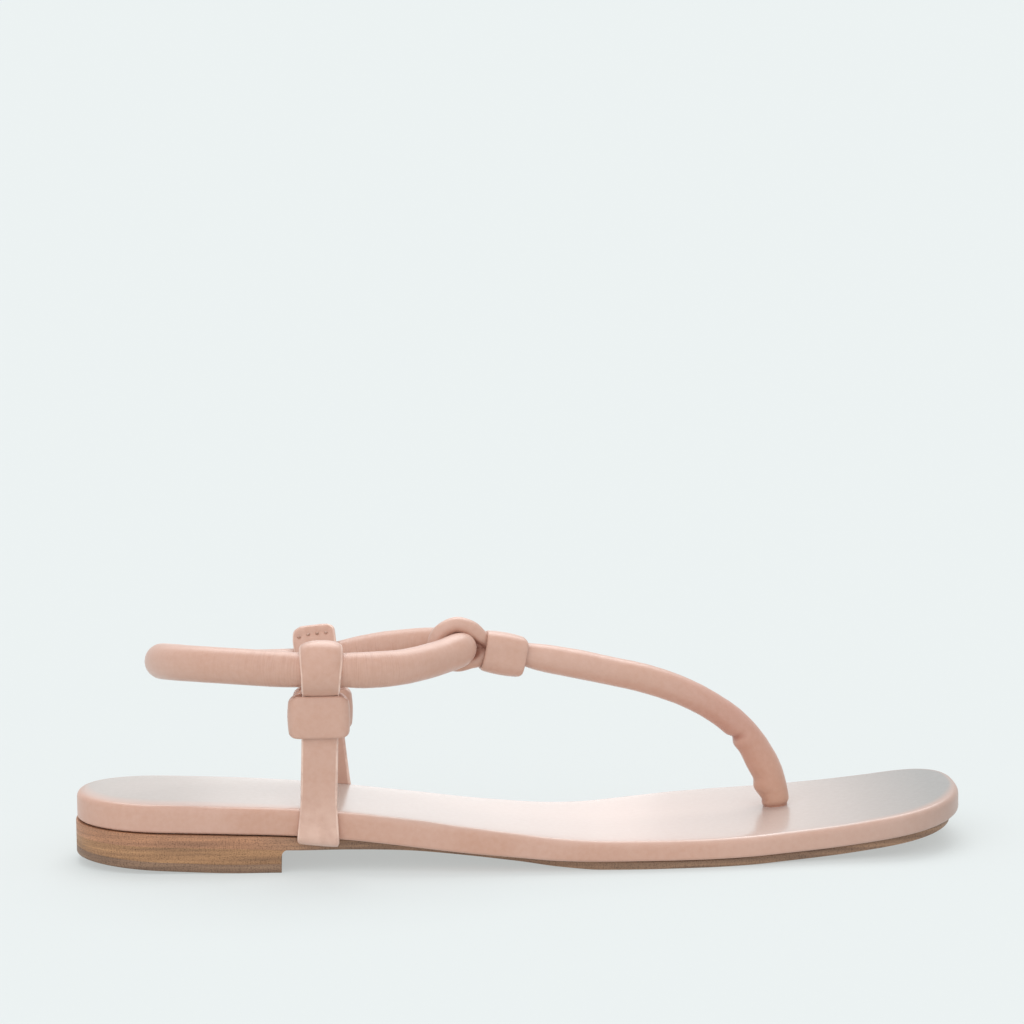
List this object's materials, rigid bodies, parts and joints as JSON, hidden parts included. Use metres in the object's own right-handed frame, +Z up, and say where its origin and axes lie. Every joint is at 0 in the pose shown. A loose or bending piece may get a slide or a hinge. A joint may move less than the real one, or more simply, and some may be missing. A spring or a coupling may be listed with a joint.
{
  "type": "toe post sandal",
  "caption": "Flat right-foot toe post sandal: wrapped footbed, leather outsole, low stacked heel, padded T-strap and a gathered ankle sling held by two folded uprights.",
  "frame": {"origin": "on the floor under the middle of the sandal's bounding box", "axes": "+X from heel to toe, +Y from the outer (lateral) side to the inner (medial) side, +Z up from the floor"},
  "size_m": [0.2504, 0.077, 0.0672],
  "materials": {
    "footbed_leather": "smooth, glossy finished leather",
    "strap_leather": "soft satin nappa leather",
    "outsole_leather": "raw cut edge, lightly waxed",
    "heel_leather": "stacked layers, streaked cut edge",
    "top_piece_leather": "matt darker wearing layer"
  },
  "bodies": {
    "root": {"footbed": "footbed_leather", "outsole": "outsole_leather", "heel_stack": "heel_leather", "heel_top_piece": "top_piece_leather", "sling_strap": "strap_leather", "t_strap": "strap_leather", "keeper_front": "strap_leather", "upright_lateral": "strap_leather", "upright_medial": "strap_leather", "keeper_lateral": "strap_leather", "keeper_medial": "strap_leather"}
  },
  "joints": []
}
